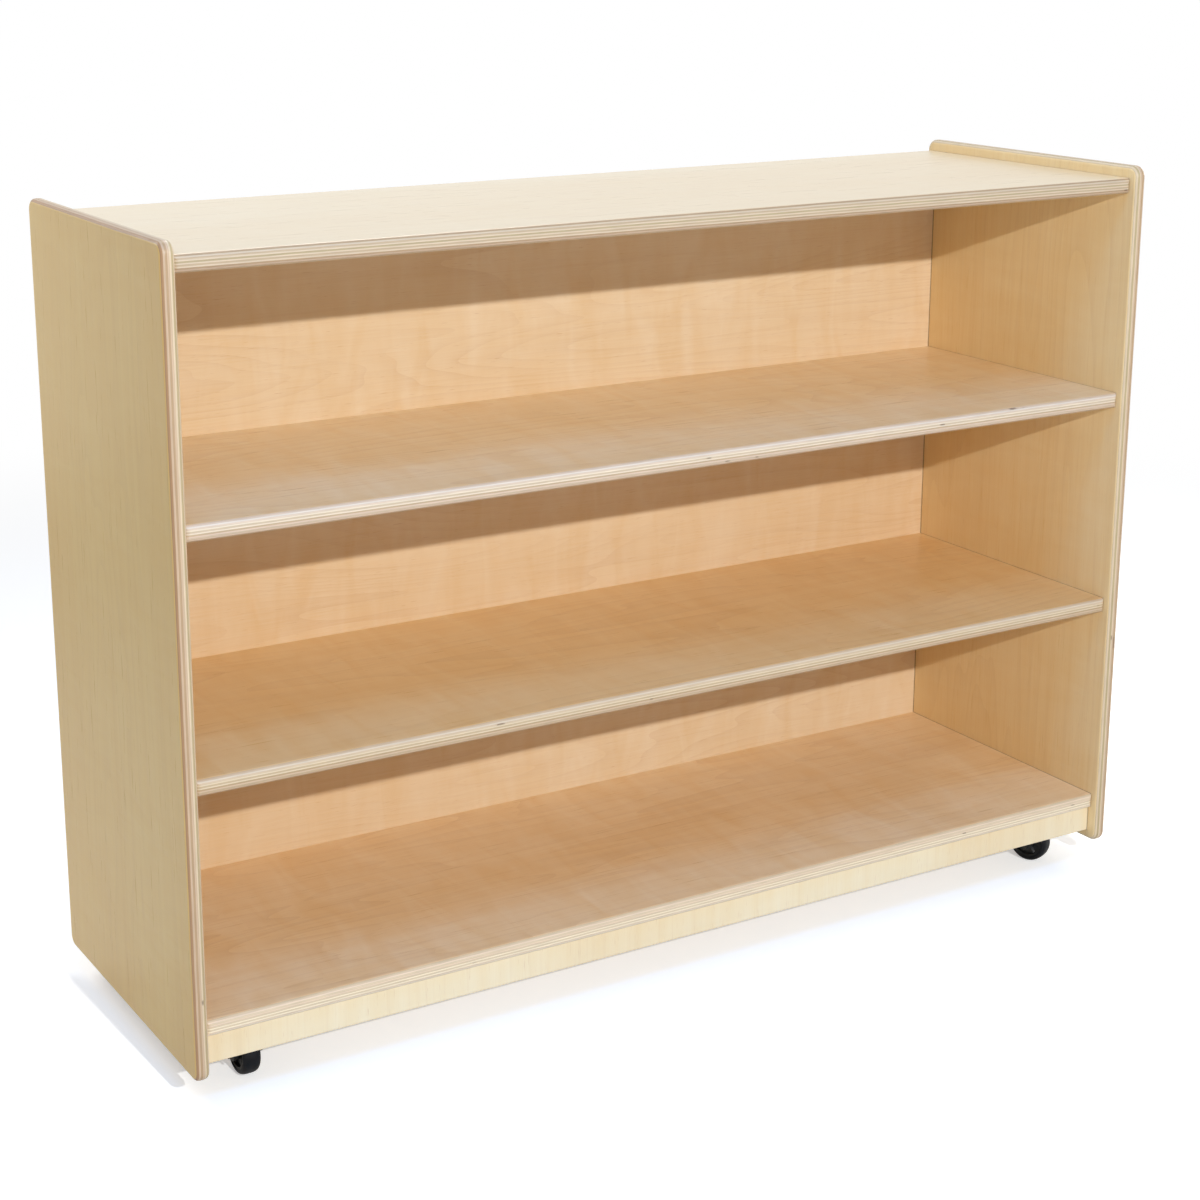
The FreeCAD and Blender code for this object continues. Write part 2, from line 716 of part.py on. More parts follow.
def wheel_hub(label):
    """Moulded wheel centre: boss, thin web and rim, turned about X."""
    body = new_node(label)
    bore = "(sleeve_diameter / 2 + axle_fit)"
    boss = "(boss_diameter / 2)"
    rim = "(wheel_diameter / 2 - tread_thickness)"
    inside = f"({rim} - rim_thickness)"
    half = [("boss_width", bore), ("boss_width", boss), ("web_width", boss), ("web_width", inside),
            ("rim_width", inside), ("rim_width", rim)]
    outline = new_sketch(body, "XY_Plane")
    polygon(outline, [(f"({width} / 2)", radius) for width, radius in half]
            + [(f"(-{width} / 2)", radius) for width, radius in reversed(half)])
    turn(body, outline, "H_Axis")
    return body


def tread(label):
    """Tyre ring round the rim with rounded shoulders."""
    body = new_node(label)
    outline = new_sketch(body, "XY_Plane")
    rectangle(outline, "(-tread_width / 2)", "(wheel_diameter / 2 - tread_thickness)",
              "(tread_width / 2)", WHEEL_RADIUS)
    turn(body, outline, "H_Axis")
    shoulders = []
    for level in ("(-tread_width / 2)", "(tread_width / 2)"):
        shoulders += round_edges(body, "X", number_of(level), "wheel_diameter")
    fillet(body, shoulders, "tread_shoulder")
    return body


def caster(corner, ball):
    """The pieces of one caster, set at its corner and turned the way it points."""
    x, y = caster_axis(corner)
    angle = f"{corner}_swivel"
    for make in (caster_plate, kingpin, swivel_washer):
        place(make(f"{corner}_{make.__name__}"), x, y)
    places = []
    for i in range(BALLS_PER_RACE):
        step = f"({FULL_TURN} * {i} / {BALLS_PER_RACE})"
        places.append((f"({x} + race_diameter / 2 * cos{step})",
                       f"({y} + race_diameter / 2 * sin{step})", BALL_Z, UNTURNED))
    group(f"{corner}_swivel_balls", ball, places)
    place(fork(f"{corner}_fork"), x, y, "0", angle)
    axle_x = f"({x} + caster_trail * sin({angle}))"
    axle_y = f"({y} - caster_trail * cos({angle}))"
    for make in (axle_bolt, axle_nut, axle_sleeve, wheel_hub, tread):
        place(make(f"{corner}_{make.__name__}"), axle_x, axle_y, WHEEL_RADIUS, angle)


def ball_master():
    ball = doc.addObject("Part::Sphere", "swivel_ball")
    bind(ball, "Radius", "ball_diameter / 2")
    return ball


def check_model():
    """Every object has to be built, and every piece whole."""
    doc.recompute()
    for thing in doc.Objects:
        if "Invalid" in thing.State or "Error" in thing.State:
            raise RuntimeError(f"{thing.Name} failed: {thing.State}")
    for node in nodes:
        if node.Shape.isNull() or not node.Shape.isValid():
            raise RuntimeError(f"{node.Label} has no valid shape")


def main():
    side_panel("left_side_panel", True)
    side_panel("right_side_panel", False)
    top_panel()
    shelf("upper_shelf")
    shelf("lower_shelf")
    bottom_shelf()
    front_apron()
    back_panel()
    fastenings()
    ball = ball_master()
    for corner in CORNERS:
        caster(corner, ball)
    check_model()
    os.makedirs("parts", exist_ok=True)
    for node in nodes:
        node.Shape.exportStep(f"parts/{node.Label}.step")
        print(node.Label, len(node.Shape.Solids), round(node.Shape.Volume / MM3_PER_CM3, 2))


main()
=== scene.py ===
"""Finishes the open-shelf display unit: plywood boards, swivel casters, studio floor, light and camera."""

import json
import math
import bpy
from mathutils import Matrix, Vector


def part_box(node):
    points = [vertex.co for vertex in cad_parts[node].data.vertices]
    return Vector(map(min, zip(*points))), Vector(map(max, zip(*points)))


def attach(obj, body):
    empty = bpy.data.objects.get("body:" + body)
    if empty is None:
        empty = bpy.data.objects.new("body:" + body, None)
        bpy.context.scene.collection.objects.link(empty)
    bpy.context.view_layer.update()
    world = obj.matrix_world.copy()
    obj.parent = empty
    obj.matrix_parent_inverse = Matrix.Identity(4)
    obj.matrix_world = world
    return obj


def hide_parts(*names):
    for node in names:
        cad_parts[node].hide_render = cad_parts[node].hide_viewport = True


bl_info = {
    "name": "Open-shelf display unit",
    "version": (1, 0, 0),
    "blender": (4, 5, 0),
    "location": "3D View > Sidebar > Shelf unit",
    "description": "Finishes the plywood boards and casters of a shelf unit and sets up its studio",
    "category": "Material",
}

from collections import namedtuple

import bpy
import numpy as np

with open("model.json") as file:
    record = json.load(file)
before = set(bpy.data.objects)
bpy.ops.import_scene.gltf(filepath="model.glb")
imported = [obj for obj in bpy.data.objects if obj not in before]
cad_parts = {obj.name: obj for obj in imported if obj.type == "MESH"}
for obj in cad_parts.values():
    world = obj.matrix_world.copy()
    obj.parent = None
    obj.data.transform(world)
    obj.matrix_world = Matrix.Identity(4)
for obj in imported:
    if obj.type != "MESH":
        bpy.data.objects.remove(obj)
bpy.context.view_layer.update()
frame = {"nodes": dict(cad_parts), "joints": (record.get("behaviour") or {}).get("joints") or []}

CORNERS = ("front_left", "front_right", "rear_left", "rear_right")
MM = 0.001


def paint(red, green, blue):
    """A colour given as 0-255 display values, as the linear values that the shader nodes work with."""
    share = np.array((red, green, blue)) / 255
    linear = np.where(share <= 0.04045, share / 12.92, ((share + 0.055) / 1.055) ** 2.4)
    return tuple(float(value) for value in linear)


class Sheet:
    """One material's nodes. Each call adds a node, wires its inputs and gives back its output socket."""

    def __init__(self, name):
        self.material = bpy.data.materials.new(name)
        self.material.use_nodes = True
        self.tree = self.material.node_tree
        self.tree.nodes.clear()
        self.shader = self.add("ShaderNodeBsdfPrincipled")
        output = self.add("ShaderNodeOutputMaterial")
        self.tree.links.new(self.shader.outputs["BSDF"], output.inputs["Surface"])
        self.place = self.add("ShaderNodeTexCoord").outputs["Object"]

    def add(self, kind, **settings):
        """A new node with its settings."""
        node = self.tree.nodes.new(kind)
        for setting, value in settings.items():
            setattr(node, setting, value)
        return node

    def feed(self, socket, value):
        """Wires a socket into an input, or types a constant into it."""
        if isinstance(value, bpy.types.NodeSocket):
            self.tree.links.new(value, socket)
        elif socket.type == "RGBA":
            socket.default_value = (*value, 1.0)
        else:
            socket.default_value = value

    def math(self, operation, *values):
        """Arithmetic on plain numbers."""
        node = self.add("ShaderNodeMath", operation=operation)
        for socket, value in zip(node.inputs, values):
            self.feed(socket, value)
        return node.outputs[0]

    def axes(self):
        """The piece's own x, y and z, in metres."""
        node = self.add("ShaderNodeSeparateXYZ")
        self.feed(node.inputs[0], self.place)
        return dict(zip("xyz", node.outputs))

    def vector(self, x, y, z):
        """Three numbers as one vector."""
        node = self.add("ShaderNodeCombineXYZ")
        for socket, value in zip(node.inputs, (x, y, z)):
            self.feed(socket, value)
        return node.outputs[0]

    def stretch(self, vector, counts):
        """A vector counted per metre, separately along each axis."""
        node = self.add("ShaderNodeVectorMath", operation="MULTIPLY")
        self.feed(node.inputs[0], vector)
        self.feed(node.inputs[1], counts)
        return node.outputs[0]

    def noise(self, vector, detail=1.0, roughness=0.5, distortion=0.0):
        """Soft cloud noise from 0 to 1, mostly near the middle, once for each unit of the vector."""
        node = self.add("ShaderNodeTexNoise")
        self.feed(node.inputs["Vector"], vector)
        self.feed(node.inputs["Scale"], 1.0)
        self.feed(node.inputs["Detail"], detail)
        self.feed(node.inputs["Roughness"], roughness)
        self.feed(node.inputs["Distortion"], distortion)
        return node.outputs[0]

    def cloud(self, count, detail=1.0):
        """Cloud noise that repeats equally often per metre in every direction."""
        return self.noise(self.stretch(self.place, (count, count, count)), detail=detail)

    def span(self, value, low, high, bottom=0.0, top=1.0, smooth=True):
        """A value's stretch from low to high, carried to bottom to top."""
        kind = "SMOOTHSTEP" if smooth else "LINEAR"
        node = self.add("ShaderNodeMapRange", interpolation_type=kind, clamp=True)
        for socket, given in zip(node.inputs, (value, low, high, bottom, top)):
            self.feed(socket, given)
        return node.outputs[0]

    def around_one(self, noise, reach):
        """Noise carried to a factor that stays within half the reach of 1."""
        return self.math("MULTIPLY_ADD", noise, reach, 1.0 - 0.5 * reach)

    def blend(self, share, first, second, kind="MIX"):
        """Two colours laid over each other."""
        node = self.add("ShaderNodeMix", data_type="RGBA", blend_type=kind)
        self.feed(node.inputs[0], share)
        self.feed(node.inputs[6], first)
        self.feed(node.inputs[7], second)
        return node.outputs[2]

    def shade(self, colour, amount):
        """A colour made lighter or darker by a factor."""
        node = self.add("ShaderNodeVectorMath", operation="SCALE")
        self.feed(node.inputs[0], colour)
        self.feed(node.inputs["Scale"], amount)
        return node.outputs[0]

    def steps(self, value, colours):
        """One flat colour for each equal step of a value from 0 to 1."""
        node = self.add("ShaderNodeValToRGB")
        self.feed(node.inputs[0], value)
        ramp = node.color_ramp
        ramp.interpolation = "CONSTANT"
        ramp.elements[1].position = 1 / len(colours)
        for number in range(2, len(colours)):
            ramp.elements.new(number / len(colours))
        for element, colour in zip(ramp.elements, colours):
            element.color = (*colour, 1.0)
        return node.outputs[0]

    def bump(self, height, depth, strength=1.0):
        """Small relief, as deep as the given number of metres where height goes from 0 to 1."""
        node = self.add("ShaderNodeBump")
        self.feed(node.inputs["Height"], height)
        self.feed(node.inputs["Distance"], depth)
        self.feed(node.inputs["Strength"], strength)
        return node.outputs[0]

    def finish(self, colour, roughness, normal, **sockets):
        """Wires the shader: what varies through its nodes, what doesn't straight on its own sockets."""
        self.feed(self.shader.inputs["Base Color"], colour)
        self.feed(self.shader.inputs["Roughness"], roughness)
        self.feed(self.shader.inputs["Normal"], normal)
        for name, value in sockets.items():
            self.feed(self.shader.inputs[name.replace("_", " ")], value)
        return self.material


def new_piece(name, points, faces, smooth):
    """A new object at the origin from arrays of points and four-cornered faces."""
    mesh = bpy.data.meshes.new(name)
    mesh.from_pydata(points.reshape(-1, 3).tolist(), [], faces.reshape(-1, 4).tolist())
    mesh.polygons.foreach_set("use_smooth", np.full(faces.size // 4, smooth))
    mesh.update()
    piece = bpy.data.objects.new(name, mesh)
    bpy.context.scene.collection.objects.link(piece)
    return piece


def dress(node, material):
    """Puts a finish on every material slot of a CAD node."""
    piece = frame["nodes"][node]
    if not piece.material_slots:
        piece.data.materials.append(material)
    for slot in piece.material_slots:
        slot.material = material


# Veneers, from pale to dark, and the marks between and on them
PEARL = paint(215, 202, 184)
CREAM = paint(219, 204, 178)
BLUSH = paint(206, 184, 160)
SAND = paint(196, 175, 146)
TAN = paint(184, 158, 126)
RUST = paint(180, 145, 112)
OLIVE = paint(186, 171, 136)
GLUE = paint(138, 106, 74)
# Painted shade: the dark inside the voids of the core layers
GAP_SHADE = paint(84, 56, 36)
# Part joint line and part painted shade, where a board meets the sides
SEAM_AND_SHADE = paint(84, 54, 30)
BEECH_FLECK = paint(170, 122, 80)

# The layers of each board, from its low side to its high side
SIDE_PLIES = (CREAM, RUST, BLUSH, TAN, BLUSH, CREAM, OLIVE, CREAM, SAND)
SHELF_PLIES = (BLUSH, TAN, BLUSH, SAND, BLUSH, TAN, CREAM, SAND, CREAM, BLUSH, PEARL, BLUSH, PEARL)
BOTTOM_PLIES = (PEARL, SAND, PEARL, BLUSH, CREAM, SAND, CREAM, SAND, BLUSH, SAND, BLUSH, SAND, BLUSH)
TOP_PLIES = (BLUSH, SAND, BLUSH, TAN, CREAM, SAND, CREAM, OLIVE, CREAM, SAND, CREAM, TAN, CREAM)
APRON_PLIES = (CREAM, SAND, CREAM, TAN, CREAM, SAND, CREAM)
BACK_PLIES = (CREAM, TAN, CREAM)

# How often each pattern of the plywood repeats per metre, along the grain, across it and through the board
WANDER = (7.0, 7.0, 0.0)
THREADS = (34.0, 34.0, 1500.0)
GAPS = (34.0, 34.0, 9.0)
GROWTH = (0.9, 7.0, 30.0)
FADING = (3.0, 9.0, 11.0)
CURLS = (30.0, 8.0, 5.0)
FIBRES = (14.0, 520.0, 40.0)
PORES = (60.0, 1100.0, 60.0)
PATCHES = (0.9, 3.6, 9.0)
BANDS = (2.2, 62.0, 12.0)
STREAKS = (6.0, 210.0, 30.0)
FLECKS = (160.0, 900.0, 900.0)

# Which part of each pattern's noise shows, from where it starts to where it is full
FADED = (0.30, 0.62)
THREADED = (0.25, 0.75)
GAPPED = (0.74, 0.78)
PORED = (0.68, 0.80)
PATCHED = (0.35, 0.68)
STREAKED = (0.52, 0.72)
FLECKED = (0.55, 0.72)

# Layers: the share of an outer one that is sanded off, how far they wander, and threads, glue and gaps;
# the dark of the gaps is painted shade in the hollows
SANDED = 0.7
WANDER_REACH = 0.3 * MM
THREAD_SHADES = (0.84, 1.12)
GLUE_SHARE = 0.12
GLUE_DARKNESS = 0.35
GAP_SPACING = 0.37
GAP_SHADE_DARKNESS = 0.55

# Face: dark wood is warmer than pale wood, so red takes less of the figure than green, and blue takes more
FIGURE_SHARES = (0.55, 1.35, 2.8)
WARM_PATCH = (0.95, 0.86, 0.74)
PATCH_SHARE = 0.5
LINE_SHARPNESS = 3.0
FAINTEST_LINE = 0.15
CUT_ACROSS = 1.7

# Dark seams where a board meets the sides, part joint line and part painted shade, as distances from them
SEAM_SHADE_START = 1.6 * MM
SEAM_SHADE_END = 0.4 * MM
SEAM_AND_SHADE_DARKNESS = 0.75

# Relief in millimetres, and how far the lacquer's roughness drifts
FIBRE_RELIEF = 0.03
PORE_RELIEF = -0.04
SMOOTHER = 0.05
ROUGHER = 0.07
CUT_EDGE_ROUGHER = 0.10
LACQUER_IOR = 1.48

# Tints of the cut edges
PLAIN_EDGE = (1.0, 1.0, 1.0)
WARM_EDGE = (0.96, 0.89, 0.80)

# A board's node, its axes along, across and through the grain, its layers, which cut of the wood it is, the
# axis that its seams lie on, where a dark line is partly painted shade, and the tint of its edge
Board = namedtuple("Board", "node grain plies cut ends edge", defaults=(PLAIN_EDGE,))
# How strong each part of a face's figure is, the colour of its dark marks, and its lacquer
Look = namedtuple("Look", "rings ripple curl fibre bands line streak pore dark rough gloss")


def board_box(node, axis):
    """Where a board starts and ends along one axis, in metres."""
    low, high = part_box(node)
    place = "xyz".index(axis)
    return low[place], high[place]


def plywood(board, face, look):
    """Solid plywood for one board.

    The board's own coordinates are read along the face grain, across it and through the layers. The layer
    number is the whole part of the depth times the number of layers, so an eased edge cuts through them as
    a plane would. The outer layers carry the face figure: contour lines of slow noise as growth lines,
    ripple across the grain, fine fibres and short pores. The ripple is partly the wood's own figure and
    partly a painted sheen of curly grain. The inner layers show as bands, with glue lines between and a
    few dark gaps, whose dark is painted shade in the hollows.
    """
    sheet = Sheet(board.node + "_plywood")
    axes = sheet.axes()
    along, across, through = (axes[axis] for axis in board.grain)
    grain = sheet.vector(
        sheet.math("ADD", along, board.cut),
        sheet.math("ADD", across, board.cut * CUT_ACROSS),
        through,
    )

    # Layers
    low, high = board_box(board.node, board.grain[2])
    layers = len(board.plies)
    sanded = SANDED * (high - low) / (layers - 2 * SANDED)
    wander = sheet.noise(sheet.stretch(grain, WANDER), detail=2.0)
    wander = sheet.span(wander, 0.0, 1.0, -WANDER_REACH, WANDER_REACH, smooth=False)
    depth = sheet.math("ADD", through, wander)
    depth = sheet.span(depth, low - sanded, high + sanded, smooth=False)
    count = sheet.math("MULTIPLY", depth, float(layers))
    number = sheet.math("FLOOR", count)
    share = sheet.math("FRACT", count)
    inner = sheet.math("COMPARE", number, (layers - 1) / 2, (layers - 1) / 2 - 0.5)
    layer = sheet.steps(depth, board.plies)
    threads = sheet.noise(sheet.stretch(grain, THREADS), detail=3.0, roughness=0.6)
    pale = sheet.span(threads, *THREADED, *THREAD_SHADES, smooth=False)
    layer = sheet.blend(1.0, sheet.shade(layer, pale), board.edge, kind="MULTIPLY")
    glue = sheet.math("PINGPONG", share, 0.5)
    glue = sheet.span(glue, 0.0, GLUE_SHARE, GLUE_DARKNESS, 0.0)
    layer = sheet.blend(glue, layer, GLUE)
    gap_place = sheet.vector(
        sheet.math("ADD", along, board.cut),
        sheet.math("ADD", across, board.cut),
        sheet.math("MULTIPLY", number, GAP_SPACING),
    )
    gaps = sheet.noise(sheet.stretch(gap_place, GAPS))
    gaps = sheet.span(gaps, *GAPPED)
    odd = sheet.math("MODULO", number, 2.0)
    gaps = sheet.math("MULTIPLY", gaps, odd)
    # Voids in the odd layers, painted dark: painted shade in the hollows
    layer = sheet.blend(sheet.math("MULTIPLY", gaps, GAP_SHADE_DARKNESS), layer, GAP_SHADE)

    # Face figure
    slow = sheet.noise(sheet.stretch(grain, GROWTH), detail=2.0, roughness=0.42, distortion=0.3)
    rings = sheet.math("FRACT", sheet.math("MULTIPLY", slow, look.rings))
    lines = sheet.math("POWER", rings, LINE_SHARPNESS)
    fade = sheet.noise(sheet.stretch(grain, FADING))
    lines = sheet.math("MULTIPLY", lines, sheet.span(fade, *FADED, FAINTEST_LINE, 1.0))
    curl = sheet.noise(sheet.stretch(grain, CURLS), detail=2.0, distortion=0.9)
    fibre = sheet.noise(sheet.stretch(grain, FIBRES), detail=3.0, roughness=0.6)
    pores = sheet.noise(sheet.stretch(grain, PORES))
    pores = sheet.span(pores, *PORED)
    patches = sheet.noise(sheet.stretch(grain, PATCHES))
    bands = sheet.noise(sheet.stretch(grain, BANDS), detail=2.0)
    streaks = sheet.noise(sheet.stretch(grain, STREAKS), detail=2.0, distortion=0.6)
    streaks = sheet.span(streaks, *STREAKED)

    # The ripple is partly the wood's own figure and partly a painted sheen of the curly grain
    light = sheet.around_one(curl, look.ripple)
    light = sheet.math("MULTIPLY", light, sheet.around_one(fibre, look.fibre))
    light = sheet.math("MULTIPLY", light, sheet.around_one(bands, look.bands))
    warm = sheet.span(patches, *PATCHED)
    darker = tuple(np.array(face) * WARM_PATCH)
    figure = sheet.blend(sheet.math("MULTIPLY", warm, PATCH_SHARE), face, darker)
    tint = [sheet.math("MULTIPLY_ADD", light, part, 1.0 - part) for part in FIGURE_SHARES]
    figure = sheet.blend(1.0, figure, sheet.vector(*tint), kind="MULTIPLY")
    for marks, strength in ((lines, look.line), (streaks, look.streak), (pores, look.pore)):
        figure = sheet.blend(sheet.math("MULTIPLY", marks, strength), figure, look.dark)

    colour = sheet.blend(inner, figure, layer)
    # Dark line where the board meets the sides: partly a joint line, partly painted shade in the crease
    if board.ends:
        start, end = board_box("left_side_panel", "x")[1], board_box("right_side_panel", "x")[0]
        half = (end - start) / 2
        from_middle = sheet.math("ABSOLUTE", axes[board.ends])
        seam_and_shade = sheet.span(from_middle, half - SEAM_SHADE_START, half - SEAM_SHADE_END, 0.0, SEAM_AND_SHADE_DARKNESS)
        colour = sheet.blend(seam_and_shade, colour, SEAM_AND_SHADE)

    relief = sheet.math("MULTIPLY_ADD", fibre, FIBRE_RELIEF, sheet.math("MULTIPLY", pores, PORE_RELIEF))
    relief = sheet.math("ADD", relief, sheet.math("MULTIPLY", curl, look.curl))
    relief = sheet.math("SUBTRACT", relief, sheet.math("MULTIPLY", gaps, inner))
    normal = sheet.bump(relief, 1.0 * MM)
    rough = sheet.span(fibre, 0.2, 0.8, look.rough - SMOOTHER, look.rough + ROUGHER, smooth=False)
    rough = sheet.math("MULTIPLY_ADD", inner, CUT_EDGE_ROUGHER, rough)
    return sheet.finish(colour, rough, normal, IOR=LACQUER_IOR, Specular_IOR_Level=look.gloss)


def wood_look(context, rings, line, ripple, bands=0.04, streak=0.05, gloss=1.0):
    """The figure of one kind of board, with the colours and gloss from the settings."""
    wood = context.scene.shelf_plywood
    return Look(
        rings=rings,
        ripple=ripple,
        curl=wood.curl,
        fibre=wood.fibre,
        bands=bands,
        line=line,
        streak=streak,
        pore=wood.pores,
        dark=tuple(wood.line_colour),
        rough=wood.roughness,
        gloss=wood.gloss * gloss,
    )


def colour_setting(name, description, default):
    """A colour that a user may change."""
    return bpy.props.FloatVectorProperty(
        name=name, description=description, default=default, size=3, min=0.0, max=1.0, subtype="COLOR"
    )


def share_setting(name, description, default):
    """A share from 0 to 1 that a user may change."""
    return bpy.props.FloatProperty(
        name=name, description=description, default=default, min=0.0, max=1.0, subtype="FACTOR"
    )


def power_setting(name, description, default):
    """A lamp's power that a user may change."""
    return bpy.props.FloatProperty(
        name=name, description=description, default=default, min=0.0, unit="POWER"
    )


class PlywoodSettings(bpy.types.PropertyGroup):
    """Colours and gloss of the plywood."""

    top_colour: colour_setting("Top", "Face veneer of the top panel", paint(231, 211, 176))
    upper_colour: colour_setting("Upper shelf", "Face veneer of the upper shelf", paint(237, 212, 174))
    lower_colour: colour_setting("Lower shelf", "Face veneer of the lower shelf", paint(229, 194, 142))
    bottom_colour: colour_setting("Bottom shelf", "Face veneer of the bottom shelf", paint(237, 207, 165))
    left_colour: colour_setting("Left side", "Face veneer of the left side panel", paint(232, 196, 123))
    right_colour: colour_setting("Right side", "Face veneer of the right side panel", paint(239, 213, 163))
    back_colour: colour_setting("Back", "Face veneer of the back panel", paint(227, 202, 167))
    apron_colour: colour_setting("Apron", "Face veneer of the apron", paint(234, 219, 186))
    line_colour: colour_setting("Growth lines", "Colour of growth lines and pores", paint(180, 123, 71))
    roughness: share_setting("Roughness", "How matt the satin lacquer is", 0.30)
    gloss: share_setting("Gloss", "How strongly the lacquer reflects", 0.5)
    curl: share_setting("Curl", "Depth of the rippled grain, in millimetres", 0.60)
    fibre: share_setting("Fibres", "How much the fine fibres vary", 0.10)
    pores: share_setting("Pores", "How dark the short pores are", 0.30)


class CasterSettings(bpy.types.PropertyGroup):
    """Colours of the casters."""

    steel_colour: colour_setting("Black steel", "Coated plates and forks", paint(26, 27, 28))
    zinc_colour: colour_setting("Zinc", "Plated screws, kingpins, washers and balls", paint(196, 197, 194))
    axle_colour: colour_setting("Axles", "Blackened axle bolts, nuts and sleeves", paint(84, 84, 82))
    nylon_colour: colour_setting("Nylon", "Moulded wheel centres", paint(15, 16, 16))
    rubber_colour: colour_setting("Rubber", "Tyres", paint(13, 13, 16))
    dowel_colour: colour_setting("Beech", "Dowels", paint(214, 176, 132))


class StageSettings(bpy.types.PropertyGroup):
    """Floor, light and camera."""

    floor_colour: colour_setting("Floor", "Pale studio floor", paint(240, 240, 239))
    dome: share_setting("Dome", "Strength of the soft light from all round", 0.28)
    key_power: power_setting("Key lamp", "Power of the front lamp", 105.0)
    key_size: bpy.props.FloatProperty(
        name="Key size", description="Width of the front lamp", default=0.055, min=0.01, unit="LENGTH"
    )
    top_power: power_setting("Top lamp", "Power of the cool overhead lamp", 24.0)
    rear_power: power_setting("Rear lamp", "Power of the lamp above and behind", 26.0)
    side_power: power_setting("Side lamp", "Power of the lamp to the left and behind", 7.5)
    right_power: power_setting("Right lamp", "Power of the lamp to the right", 9.0)
    lens: bpy.props.FloatProperty(
        name="Lens", description="Focal length of the camera", default=68.74, min=1.0, unit="CAMERA"
    )


class FinishSidePanels(bpy.types.Operator):
    """Finish the two side panels as nine-layer plywood with upright grain"""

    bl_idname = "shelf.finish_side_panels"
    bl_label = "Side panels"

    def execute(self, context):
        wood = context.scene.shelf_plywood
        look = wood_look(context, rings=22.0, line=0.08, ripple=0.08, bands=0.08, streak=0.03, gloss=0.75)
        look = look._replace(pore=0.5 * look.pore)
        left = Board("left_side_panel", "zyx", SIDE_PLIES, 0.31, None, WARM_EDGE)
        right = Board("right_side_panel", "zyx", SIDE_PLIES[::-1], 2.47, None, WARM_EDGE)
        dress(left.node, plywood(left, tuple(wood.left_colour), look))
        dress(right.node, plywood(right, tuple(wood.right_colour), look))
        return {"FINISHED"}


class FinishShelves(bpy.types.Operator):
    """Finish the three shelves as thirteen-layer plywood with lengthwise grain"""

    bl_idname = "shelf.finish_shelves"
    bl_label = "Shelves"

    def execute(self, context):
        wood = context.scene.shelf_plywood
        # Face, layers, cut, tint of the edge and strength of the streaks
        shelves = {
            "bottom_shelf": (wood.bottom_colour, BOTTOM_PLIES, 4.1, (1.24, 1.26, 1.25), 0.10),
            "lower_shelf": (wood.lower_colour, SHELF_PLIES, 5.47, (0.96, 0.92, 0.84), 0.06),
            "upper_shelf": (wood.upper_colour, SHELF_PLIES, 6.84, (1.06, 1.06, 1.09), 0.05),
        }
        for node, (face, plies, cut, edge, streak) in shelves.items():
            look = wood_look(context, rings=22.0, line=0.16, ripple=0.22, bands=0.10, streak=streak)
            board = Board(node, "xyz", plies, cut, "x", edge)
            dress(node, plywood(board, tuple(face), look))
        return {"FINISHED"}


class FinishTopPanel(bpy.types.Operator):
    """Finish the top panel, with a darker layer close under its face"""

    bl_idname = "shelf.finish_top_panel"
    bl_label = "Top panel"

    def execute(self, context):
        wood = context.scene.shelf_plywood
        look = wood_look(context, rings=20.0, line=0.06, ripple=0.03)
        board = Board("top_panel", "xyz", TOP_PLIES, 9.6, "x", (0.88, 0.83, 0.79))
        dress(board.node, plywood(board, tuple(wood.top_colour), look))
        return {"FINISHED"}


class FinishFrontApron(bpy.types.Operator):
    """Finish the front apron, whose grain stands upright"""

    bl_idname = "shelf.finish_front_apron"
    bl_label = "Front apron"

    def execute(self, context):
        wood = context.scene.shelf_plywood
        look = wood_look(context, rings=10.0, line=0.0, ripple=0.04, bands=0.10)
        look = look._replace(fibre=0.5 * look.fibre)
        board = Board("front_apron", "zxy", APRON_PLIES, 12.3, "x")
        dress(board.node, plywood(board, tuple(wood.apron_colour), look))
        return {"FINISHED"}


class FinishBackPanel(bpy.types.Operator):
    """Finish the thin back panel, with the strongest growth lines and ripple"""

    bl_idname = "shelf.finish_back_panel"
    bl_label = "Back panel"

    def execute(self, context):
        wood = context.scene.shelf_plywood
        look = wood_look(context, rings=30.0, line=0.14, ripple=0.18, gloss=0.25)
        board = Board("back_panel", "xzy", BACK_PLIES, 15.2, "x")
        dress(board.node, plywood(board, tuple(wood.back_colour), look))
        return {"FINISHED"}


class FinishDowels(bpy.types.Operator):
    """Finish the beech dowels inside the joints"""

    bl_idname = "shelf.finish_dowels"
    bl_label = "Dowels"

    def execute(self, context):
        colour = tuple(context.scene.shelf_casters.dowel_colour)
        sheet = Sheet("beech_dowel")
        flecks = sheet.noise(sheet.stretch(sheet.place, FLECKS), detail=2.0)
        flecks = sheet.span(flecks, *FLECKED)
        wood = sheet.blend(flecks, colour, BEECH_FLECK)
        rough = sheet.span(flecks, 0.0, 1.0, 0.55, 0.7)
        beech = sheet.finish(wood, rough, sheet.bump(flecks, -0.1 * MM, 0.4))
        for place in ("bottom_shelf", "lower_shelf", "upper_shelf", "top_panel", "apron"):
            dress(place + "_dowels", beech)
        return {"FINISHED"}


# What drifts through the plating, and the dust on the coating, nylon and rubber
ZINC_CLOUD = paint(178, 176, 166)
AXLE_CLOUD = paint(70, 70, 66)
COAT_DUST = paint(62, 62, 60)
NYLON_DUST = paint(26, 27, 27)
RUBBER_DUST = paint(26, 26, 29)


